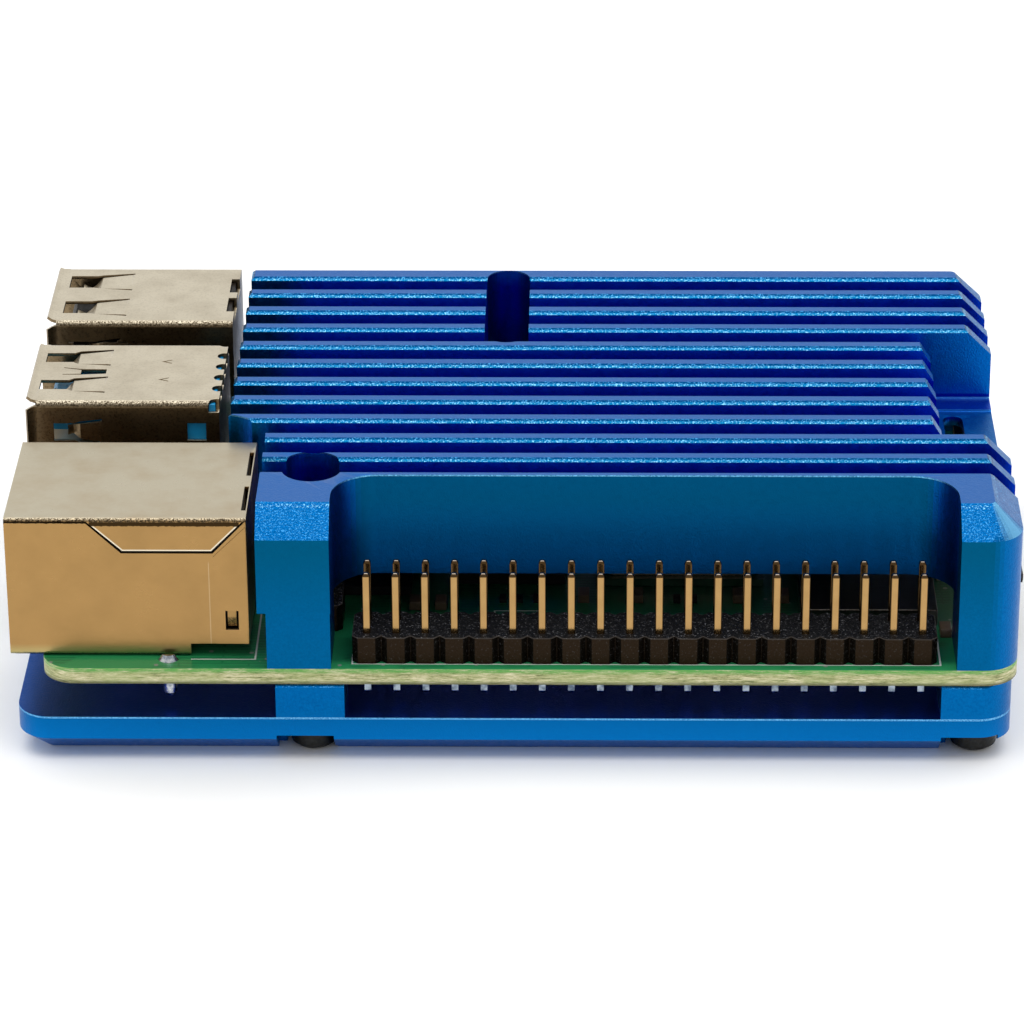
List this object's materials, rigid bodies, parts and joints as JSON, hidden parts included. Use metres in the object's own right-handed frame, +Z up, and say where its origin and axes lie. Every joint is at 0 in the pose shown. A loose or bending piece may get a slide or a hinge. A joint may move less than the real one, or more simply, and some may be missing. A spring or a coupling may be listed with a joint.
{
  "type": "single board computer",
  "caption": "Bare computer board clamped between a finned blue aluminium heatsink lid and a base plate, with its ports, header and flat cable connectors open at the sides.",
  "frame": {"origin": "on the underside of the base plate, below the centre of the board's outline", "axes": "+X towards the memory card end, away from the network and USB sockets; -Y towards the long header; +Z up out of the fins"},
  "size_m": [0.0902, 0.0585, 0.0244],
  "materials": {
    "blue_aluminium": "bead-blasted, blue anodised, chamfers bright",
    "board_green": "glass-fibre laminate with green solder mask",
    "black_plastic": "moulded, fine grain",
    "blue_plastic": "moulded",
    "ivory_plastic": "moulded",
    "clear_plastic": "clear, slightly green",
    "nickel": "nickel-plated sheet",
    "gold": "gold-plated contact",
    "dark_steel": "black oxide",
    "chip_black": "moulded resin",
    "pad_grey": "soft silicone sheet",
    "ceramic_tan": "fired ceramic with tinned ends",
    "solder": "bright solder",
    "amber": "tinted lens"
  },
  "bodies": {
    "computer": {"base_plate": "blue_aluminium", "heatsink_lid": "blue_aluminium", "case_screws": "dark_steel", "circuit_board": "board_green", "header_body": "black_plastic", "header_pins": "gold", "second_header_body": "black_plastic", "second_header_pins": "gold", "network_shield": "nickel", "network_insert": "black_plastic", "network_contacts": "gold", "network_light_pipes": "clear_plastic", "fast_usb_shell": "nickel", "fast_usb_divider": "nickel", "fast_usb_insert": "blue_plastic", "fast_usb_contacts": "gold", "slow_usb_shell": "nickel", "slow_usb_divider": "nickel", "slow_usb_insert": "black_plastic", "slow_usb_contacts": "gold", "power_socket_shell": "nickel", "power_socket_tongue": "black_plastic", "power_socket_contacts": "gold", "video_socket_shells": "nickel", "video_socket_tongues": "black_plastic", "video_socket_contacts": "gold", "audio_jack_body": "black_plastic", "audio_jack_contacts": "nickel", "camera_connector": "ivory_plastic", "camera_contacts": "gold", "display_connector": "ivory_plastic", "display_contacts": "gold", "card_socket_shell": "nickel", "card_socket_base": "black_plastic", "card_socket_contacts": "gold", "processor_substrate": "board_green", "processor_lid": "nickel", "memory_chip": "chip_black", "wireless_module": "board_green", "wireless_can": "nickel", "usb_controller": "chip_black", "network_controller": "chip_black", "power_manager": "chip_black", "thermal_pads": "pad_grey", "inductors": "chip_black", "ceramic_capacitors": "ceramic_tan", "chip_resistors": "chip_black", "clock_crystals": "nickel", "status_lights": "amber", "solder_joints": "solder", "underside_parts": "ceramic_tan"},
    "camera_latch": {"camera_latch": "black_plastic"},
    "display_latch": {"display_latch": "black_plastic"},
    "memory_card": {"memory_card": "black_plastic"}
  },
  "joints": [
    {"name": "camera_latch_lift", "type": "slide", "parent": "computer", "child": "camera_latch", "axis": [0, 0, 1], "range_m": [0, 0.001]},
    {"name": "display_latch_lift", "type": "slide", "parent": "computer", "child": "display_latch", "axis": [0, 0, 1], "range_m": [0, 0.001]},
    {"name": "card_withdrawal", "type": "slide", "parent": "computer", "child": "memory_card", "axis": [1, 0, 0], "range_m": [0, 0.0128]}
  ]
}
